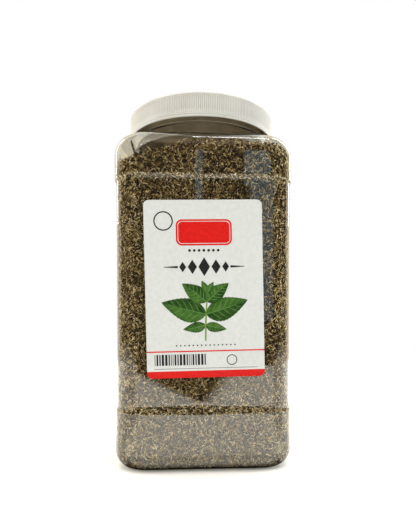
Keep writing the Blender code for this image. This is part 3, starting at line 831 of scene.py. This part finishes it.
for k in range(20):
    wide = widths[(k * 3) % 7]
    strokes.append([(at, bar_low), (at + wide, bar_low), (at + wide, bar_high), (at, bar_high)])
    at += wide + 0.75
flat_piece("label_black", [(strokes, PAPER_THICK)], INK, black_ink)
print("label", LABEL_W, "x", LABEL_H, "mm, bars end at", round(at, 1))

# %% [markdown]
# ## The printed sprig
# Basil leaves grow in opposite pairs, each pair turned against the one below: broad, pointed
# ovals with a shallow toothed edge, a pale midrib and arching side veins. Each leaf is drawn as a
# dark half and a lighter half, as light falls on a folded blade, and the veins lie on top.

# %% Sprig
def leaf_edge(length, width, side, steps=26):
    """One half of a leaf along +x, from base to tip, on this side of its midrib."""
    t = np.linspace(0.0, 1.0, steps)
    swell = np.sin(np.pi * t ** 0.78) ** 0.85 * (1.0 - 0.25 * t)
    tooth = 1.0 + 0.05 * (np.arange(steps) % 2) * (t > 0.12)
    return np.column_stack([length * t, side * width / 2 * swell * tooth])


def bend(points, length, curl):
    """Bows a leaf sideways, more toward its tip."""
    out = np.array(points, float)
    out[:, 1] += curl * (out[:, 0] / length) ** 2 * length
    return out


def placed(points, node, angle):
    """Turns a shape that points along +x to this angle and sets its foot on the node."""
    cos, sin = math.cos(math.radians(angle)), math.sin(math.radians(angle))
    return [(node[0] + x * cos - y * sin, node[1] + x * sin + y * cos) for x, y in points]


LEAVES = [  # node, angle, length, width, curl
    ((0.2, -25.0), 196, 15.0, 7.0, -0.10), ((0.2, -25.0), -18, 14.0, 6.6, 0.10),
    ((0.6, -17.5), 168, 30.0, 15.5, -0.06), ((0.6, -17.5), 14, 29.0, 15.0, 0.07),
    ((1.2, -9.0), 138, 20.0, 11.0, 0.08), ((1.2, -9.0), 44, 19.0, 10.5, -0.08),
    ((1.8, -3.0), 108, 9.0, 4.6, 0.10), ((1.8, -3.0), 66, 8.5, 4.4, -0.10),
]
light, dark, veins = [], [], []
lift = PAPER_THICK
for node, angle, length, width, curl in LEAVES:
    length, width = length * 1.06, width * 1.14
    spine = [(x, 0.0) for x in np.linspace(length, 0.0, 12)]
    for side, store in ((1, light), (-1, dark)):
        half = np.vstack([leaf_edge(length, width, side), spine[1:-1]])
        store.append(([placed(bend(half, length, curl), node, angle)], lift))
    ribs = []
    for t in np.linspace(0.14, 0.8, 6):
        reach = width / 2 * math.sin(math.pi * min(t + 0.12, 1.0) ** 0.78) ** 0.85 * (1.0 - 0.25 * t) * 0.86
        for side in (-1, 1):
            start, tip = (length * t, side * 0.14), (length * min(t + 0.19, 0.96), side * reach)
            halfway = (start[0] + tip[0]) / 2
            ribs.append([start, (start[0] + 0.35, side * 0.14), (halfway + 0.35, side * reach * 0.58),
                         tip, (halfway - 0.02, side * reach * 0.62)])
    midrib = [(0.0, -0.28), (length * 0.5, -0.2), (length * 0.97, 0.0), (length * 0.5, 0.2), (0.0, 0.28)]
    for shape in [midrib] + ribs:
        veins.append(([placed(bend(shape, length, curl), node, angle)], lift + 0.010))
    lift += 0.014
stem = [(-0.6, -36.0), (0.6, -36.0), (0.9, -25.0), (1.3, -17.0), (1.8, -9.0),
        (2.1, -3.0), (1.6, -3.0), (0.8, -9.0), (0.1, -17.0), (-0.4, -25.0)]
flat_piece("sprig_stem", [([stem], PAPER_THICK)], 0.012, stem_ink)
flat_piece("sprig_dark", dark, 0.010, green_ink)
flat_piece("sprig_light", light, 0.010, light_green_ink)
flat_piece("sprig_veins", veins, 0.004, vein_ink)
print("sprig leaves", len(LEAVES), "top lift", round(lift, 3), "mm")

# %% [markdown]
# ## The floor, the backdrop and the light
# The jar stands on a pale table before a pale backdrop. Clear plastic shows its surroundings as
# much as its contents: the lower wall is veiled by the bright table in front, the wall above it
# mirrors a dim room, and two blue-grey cards make the soft streaks on the right.

# %% Studio pieces
def glow_material(name, seen, otherwise=None):
    """Plain light of one colour for the camera and, if given, another for every other ray."""
    mat = bpy.data.materials.new(name)
    mat.use_nodes = True
    tree = mat.node_tree
    tree.nodes.remove(tree.nodes["Principled BSDF"])
    glow = add_node(tree, "Emission", {"Color": (*seen, 1.0), "Strength": 1.0})
    if otherwise:
        rays = add_node(tree, "LightPath")
        other = add_node(tree, "Emission", {"Color": (*otherwise, 1.0), "Strength": 1.0})
        glow = add_node(tree, "MixShader", {0: rays.outputs["Is Camera Ray"], 1: other.outputs[0], 2: glow.outputs[0]})
    tree.links.new(glow.outputs[0], tree.nodes["Material Output"].inputs["Surface"])
    return mat


def stage_box(name, centre, size, material):
    """A box that belongs to the studio and not to the jar."""
    bpy.ops.mesh.primitive_cube_add(size=1.0, location=centre)
    obj = bpy.context.object
    obj.name, obj.scale = name, size
    obj.data.materials.append(material)
    obj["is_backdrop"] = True
    return obj


backdrop = glow_material("backdrop", (1.0, 1.0, 1.0), (0.80, 0.72, 0.57))
stage_box("backdrop", (0.0, 0.98, 1.0), (6.0, 0.02, 3.0), backdrop)
card = glow_material("blue_card", (0.42, 0.56, 0.62))
top_card = glow_material("blue_card_top", (0.42, 0.61, 0.69))
ceiling = glow_material("ceiling", (0.60, 0.48, 0.34))
for name, place, measure, material in (("blue_card", (0.20, -0.86, 0.27), (0.10, 0.01, 0.32), card),
                                       ("blue_card_top", (0.36, -0.86, 0.48), (0.45, 0.01, 0.10), top_card),
                                       ("blue_strip", (0.028, -0.86, 0.45), (0.018, 0.01, 0.14), card),
                                       ("ceiling", (0.0, -0.9, 1.6), (1.4, 0.8, 0.01), ceiling)):
    stage_box(name, place, measure, material).visible_camera = False
print("cards and ceiling are hidden from the camera")

# %% [markdown]
# The table does most of the lighting work. Light Path tells its material which ray asks. A ray
# that was mirrored by the plastic sees a brighter strip in front of the jar, with a dark
# triangle where something stood in the light. The strip counts fully only for mirrored rays
# that come in low, as they do for an eye near the table; seen from above it stays faint.
# "eye_height" estimates how high such an eye is, from how flat the ray is and how far it went.

# %% Table
table, tree, shader = new_material("pale_table")
pale = colour_by(tree, shader, noise(tree, 3.0, 3.0), [(0.3, (0.86, 0.85, 0.82)), (0.7, (0.90, 0.89, 0.86))])
shader.inputs["Roughness"].default_value = 0.8
TABLE_FRONT, TABLE_DEEP, TABLE_WIDE = -0.9, 2.0, 4.0
spot = add_node(tree, "SeparateXYZ", {"Vector": add_node(tree, "TexCoord").outputs["Object"]})
rays = add_node(tree, "LightPath")


def maths(operation, *values):
    """One step of arithmetic in the table's shader."""
    return add_node(tree, "Math", dict(enumerate(values)), operation=operation).outputs[0]


def fade(value, start, stop):
    """0 at start, 1 at stop."""
    return add_node(tree, "MapRange", {"Value": value, "From Min": start, "From Max": stop}).outputs[0]


across = maths("MULTIPLY", spot.outputs["X"], TABLE_WIDE)
deep = maths("MULTIPLY_ADD", spot.outputs["Y"], TABLE_DEEP, TABLE_FRONT + TABLE_DEEP / 2)
aside = maths("ABSOLUTE", across)
mirrored, direct = rays.outputs["Is Glossy Ray"], rays.outputs["Is Camera Ray"]

# how low the eye is that sees this spot mirrored
facing = add_node(tree, "LayerWeight", {"Blend": 0.5}).outputs["Facing"]
eye_height = maths("MULTIPLY", maths("SUBTRACT", 1.0, facing), maths("SUBTRACT", 0.27, deep))
low_view = fade(eye_height, 0.14, 0.12)

# the bright strip in front of the jar, wider farther out
strip_half = maths("MULTIPLY_ADD", deep, -0.2, 0.10)
strip = maths("MULTIPLY", fade(maths("SUBTRACT", aside, strip_half), 0.07, 0.0), fade(deep, -0.058, -0.066))
near = maths("MULTIPLY", fade(deep, -0.155, -0.13), 0.95)
zone = maths("MULTIPLY", strip, maths("MAXIMUM", maths("MAXIMUM", low_view, near), 0.25))

# the dark triangle in it and the dark patch under the jar: painted shadows
wedge_left = fade(maths("SUBTRACT", across, maths("MULTIPLY_ADD", deep, 0.302, 0.1057)), -0.01, 0.02)
wedge_right = fade(maths("SUBTRACT", maths("MULTIPLY_ADD", deep, -0.183, -0.0389), across), -0.01, 0.02)
wedge = maths("MULTIPLY", maths("MULTIPLY", wedge_left, wedge_right), fade(deep, -0.335, -0.37))
under = maths("MULTIPLY", fade(aside, 0.064, 0.058), fade(maths("ABSOLUTE", deep), 0.064, 0.058))
shade = maths("MULTIPLY", under, maths("SUBTRACT", 1.0, direct))
dark = maths("MAXIMUM", maths("MULTIPLY", wedge, mirrored), shade)

# painted shade: mirrored rays see the table darker, the more so from above
dim = maths("MULTIPLY", mirrored, maths("MULTIPLY_ADD", low_view, -0.3, 0.6))
floor_colour = add_node(tree, "Mix", {"Factor": maths("MAXIMUM", dark, dim), 6: pale,
                                      7: (0.03, 0.024, 0.016, 1.0)}, data_type="RGBA")
tree.links.new(floor_colour.outputs[2], shader.inputs["Base Color"])
veil = maths("MULTIPLY", maths("MULTIPLY", mirrored, zone), maths("SUBTRACT", 1.0, dark))
# painted light: for the eye the table glows a little near the jar, lightening its shadow, and fully behind it where it
# meets the backdrop
seen_glow = maths("MULTIPLY", direct, maths("MULTIPLY_ADD", fade(deep, 0.06, 0.46), 0.88, 0.12))
tree.links.new(maths("ADD", maths("MULTIPLY", veil, 1.05), seen_glow), shader.inputs["Emission Strength"])
shader.inputs["Emission Color"].default_value = (1.0, 0.95, 0.77, 1.0)
stage_box("table", (0.0, TABLE_FRONT + TABLE_DEEP / 2, -0.005), (TABLE_WIDE, TABLE_DEEP, 0.01), table)
print("table nodes:", len(tree.nodes))

# %% [markdown]
# Large soft lamps on both sides and above light the herb and the floor, and they are kept out of
# the mirror reflections. Three thin ones are mirrored on purpose: they draw the bright lines
# along the shoulder and the corners, which is how the eye knows that the jar is clear.

# %% Lamps
def lamp(name, place, aim, size, power, colour=(1, 1, 1), glossy=True):
    """A rectangular soft lamp; "glossy" says whether the plastic mirrors it."""
    data = bpy.data.lights.new(name, "AREA")
    data.shape, data.size, data.size_y = "RECTANGLE", size[0], size[1]
    data.energy, data.color = power, colour
    obj = bpy.data.objects.new(name, data)
    obj.location = place
    obj.rotation_euler = (Vector(aim) - Vector(place)).to_track_quat("-Z", "Y").to_euler()
    obj.visible_glossy = obj.visible_transmission = glossy
    obj.visible_camera = False
    bpy.context.scene.collection.objects.link(obj)
    return obj


lamp("key", (-0.9, -1.0, 1.2), (0, 0, 0.1), (0.8, 0.8), 11.2, (1.0, 0.975, 0.94), glossy=False)
lamp("fill", (1.0, -1.0, 0.9), (0, 0, 0.12), (0.9, 0.9), 8.0, (0.93, 0.97, 1.0), glossy=False)
lamp("table_light", (0.0, 0.1, 1.5), (0, 0.1, 0.0), (1.6, 1.4), 30.0, (1.0, 0.99, 0.97), glossy=False)
lamp("left_panel", (-0.9, 0.15, 0.4), (0, 0, 0.13), (0.5, 1.0), 5.5, (1.0, 0.96, 0.90), glossy=False)
lamp("right_panel", (0.9, 0.15, 0.4), (0, 0, 0.13), (0.5, 1.0), 7.5, (0.93, 0.97, 1.0), glossy=False)
lamp("overhead", (0.24, 0.08, 1.4), (0.24, 0.08, 0.2), (0.44, 0.08), 1.1)
lamp("rim_left", (-0.72, 0.72, 0.72), (0, 0, 0.2), (0.06, 0.7), 0.8)
lamp("rim_right", (0.75, 0.75, 0.9), (0, 0, 0.2), (0.11, 1.1), 2.2)

# %% [markdown]
# The room around is pale to the eye, so every side view has a light background. For all other
# rays it is dim and warm, because a bright room would be mirrored all over the jar.

# %% Room
world = bpy.data.worlds.new("room")
bpy.context.scene.world = world
world.use_nodes = True
tree = world.node_tree
dim_room = tree.nodes["Background"]
dim_room.inputs["Color"].default_value = (1.0, 0.86, 0.64, 1.0)
dim_room.inputs["Strength"].default_value = 0.07
pale_room = add_node(tree, "Background", {"Color": (0.86, 0.84, 0.80, 1.0), "Strength": 1.0})
rays = add_node(tree, "LightPath")
room_light = add_node(tree, "MixShader", {0: rays.outputs["Is Camera Ray"], 1: dim_room.outputs[0],
                                          2: pale_room.outputs[0]})
tree.links.new(room_light.outputs[0], tree.nodes["World Output"].inputs["Surface"])

# %% [markdown]
# ## Measuring and finishing
# The last cell prints the dressed jar's box beside the imported model's. They have to agree, or
# the jar would no longer fit what was packed.

# %% Finish
size = {"cad": [list(corner) for corner in cad_box], "visual": [list(corner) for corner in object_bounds()]}
print("CAD box", size["cad"], "visual box", size["visual"])
